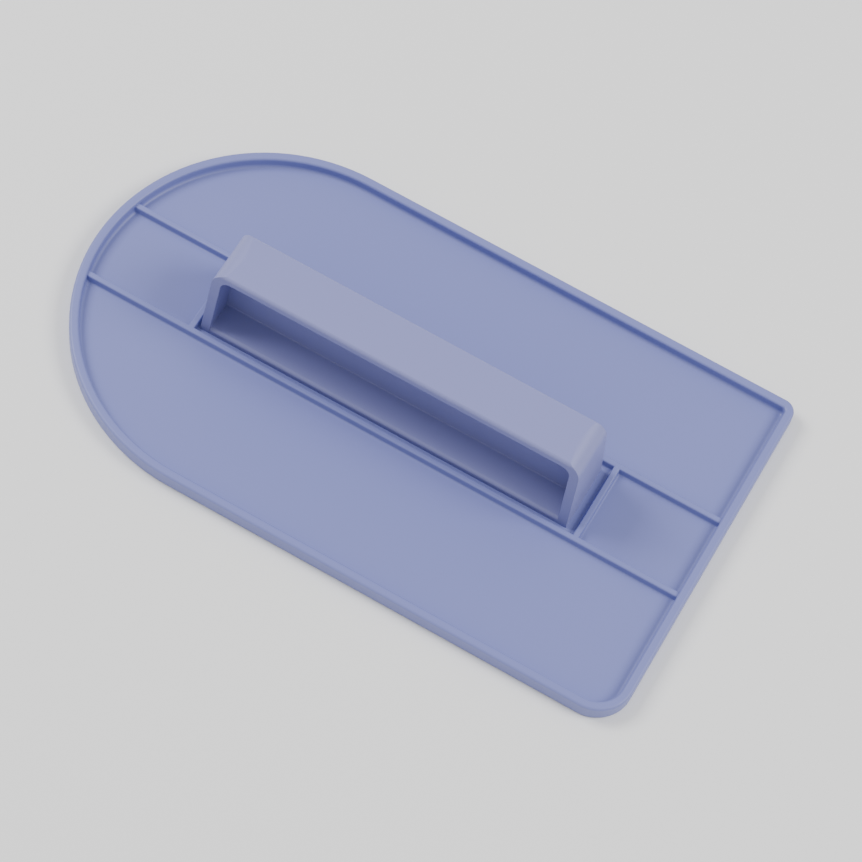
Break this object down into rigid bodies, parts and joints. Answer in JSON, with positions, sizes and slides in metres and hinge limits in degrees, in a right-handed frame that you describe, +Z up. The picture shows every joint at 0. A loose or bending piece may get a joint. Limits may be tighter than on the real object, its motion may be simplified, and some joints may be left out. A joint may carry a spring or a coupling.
{
  "type": "icing smoother",
  "caption": "Flat plastic smoothing plate with a round end and a square end, a raised rim and ribs, and a bridge handle bonded into a pocket between the ribs.",
  "frame": {"origin": "middle of the flat sole, at the bottom of the bounding box", "axes": "+X along the plate towards its square end, +Y across the plate towards its tighter corner, +Z up through the handle"},
  "size_m": [0.15, 0.087, 0.024],
  "materials": {
    "plate_plastic": "satin",
    "handle_plastic": "satin"
  },
  "bodies": {
    "root": {"base_plate": "plate_plastic", "handle": "handle_plastic"}
  },
  "joints": []
}
